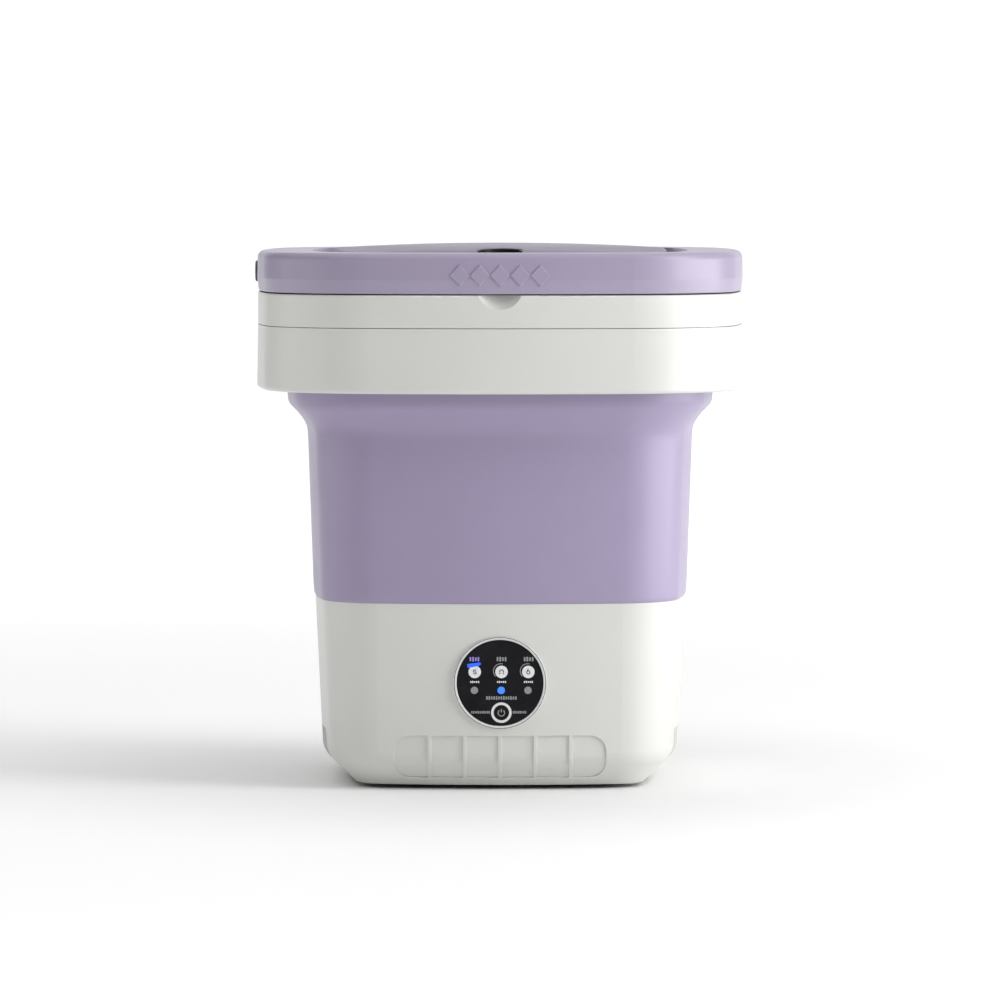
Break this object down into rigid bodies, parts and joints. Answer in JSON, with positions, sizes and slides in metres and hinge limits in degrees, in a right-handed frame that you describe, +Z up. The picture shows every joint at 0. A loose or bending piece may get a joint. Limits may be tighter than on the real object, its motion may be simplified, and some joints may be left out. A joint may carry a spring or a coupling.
{
  "type": "portable mini washer",
  "caption": "Small folding bucket washer: a rounded-square tub with a soft folding wall, lift-off windowed lid, white collar and a base holding the motor and round touch panel.",
  "frame": {"origin": "on the floor at the centre of the collar's square plan", "axes": "+Z up; the front with the control panel faces -Y; +X is on the right when the front is faced"},
  "size_m": [0.2908, 0.2902, 0.3186],
  "materials": {
    "white_shell": "satin white moulded plastic",
    "lilac_shell": "satin lilac moulded plastic",
    "lilac_soft": "matt flexible thermoplastic elastomer",
    "lid_lilac": "satin lilac moulded plastic",
    "window": "smoked lilac clear plastic",
    "panel_black": "gloss black",
    "key_black": "gloss black",
    "white_trim": "gloss white ring",
    "bezel_silver": "bright silver plated plastic",
    "button_grey": "soft-touch dark grey",
    "pocket_black": "matt black",
    "white_rubber": "matt white rubber",
    "dark_rubber": "matt black rubber",
    "steel": "plain steel",
    "zinc_screw": "zinc plated steel",
    "copper": "enamelled copper wire",
    "laminate": "laminated electrical steel",
    "board_green": "green circuit board",
    "part_black": "moulded component black",
    "inner_white": "unpainted moulding",
    "inner_grey": "grey moulding",
    "led_clear": "clear lens",
    "wire_black": "black wire sleeve",
    "metal_can": "drawn steel"
  },
  "bodies": {
    "base": {"band_screws": "steel", "base_plate": "inner_grey", "base_screws": "zinc_screw", "base_shell": "white_shell", "board_screws": "zinc_screw", "control_bezel": "bezel_silver", "dc_inlet": "part_black", "dc_inlet_nut": "zinc_screw", "drain_outlet": "inner_grey", "drain_strainer": "steel", "drain_valve_body": "inner_grey", "driver_board": "board_green", "driver_components": "part_black", "folding_wall": "lilac_soft", "inlet_leads": "wire_black", "lower_bearing": "steel", "mode_leds": "led_clear", "motor_bracket": "metal_can", "motor_can": "metal_can", "motor_end_cap": "part_black", "motor_leads": "wire_black", "motor_screws": "zinc_screw", "motor_stator": "laminate", "motor_windings": "copper", "panel_board": "board_green", "panel_cable": "wire_black", "panel_cup": "part_black", "panel_lens": "panel_black", "power_ring": "white_trim", "rubber_feet": "white_rubber", "shaft_seal": "dark_rubber", "tact_switch": "part_black", "touch_springs": "inner_grey", "tub_bowl": "inner_white", "upper_bearing": "steel", "wall_band": "inner_white"},
    "drive": {"drive_shaft": "steel", "motor_rotor": "laminate", "pulsator": "inner_white", "pulsator_cap": "lilac_shell"},
    "drain_valve": {"drain_knob": "button_grey", "drain_valve_core": "inner_white"},
    "power_button": {"power_key": "key_black"},
    "collar": {"collar_skirt": "white_shell", "rim_ring": "white_shell", "wall_clamp_ring": "inner_white", "collar_screws": "zinc_screw"},
    "lid": {"lid_ring": "lid_lilac", "lid_pan": "white_shell", "lid_screws": "zinc_screw", "lid_gasket": "dark_rubber", "lid_window": "window", "finger_pocket": "pocket_black", "window_seal": "dark_rubber"},
    "lid_catch": {"lid_button": "button_grey", "lid_button_spring": "steel"}
  },
  "joints": [
    {"name": "pulsator_spin", "type": "hinge", "parent": "base", "child": "drive", "pos_m": [0, 0, 0.05], "axis": [0, 0, 1], "continuous": true},
    {"name": "drain_turn", "type": "hinge", "parent": "base", "child": "drain_valve", "pos_m": [0.04, 0.06, 0.05], "axis": [0, 1, 0], "range_deg": [0, 90]},
    {"name": "power_press", "type": "slide", "parent": "base", "child": "power_button", "axis": [0, 0.9989, 0.0478], "range_m": [0, 0.0008], "stiffness_N_per_m": 800},
    {"name": "collapse", "type": "slide", "parent": "base", "child": "collar", "axis": [0, 0, -1], "range_m": [0, 0.11], "deforming": ["folding_wall"]},
    {"name": "lid_lift", "type": "slide", "parent": "collar", "child": "lid", "axis": [0, 0, 1], "range_m": [0, 0.15]},
    {"name": "lid_button_press", "type": "slide", "parent": "lid", "child": "lid_catch", "axis": [1, 0, 0], "range_m": [0, 0.0012], "stiffness_N_per_m": 600}
  ]
}
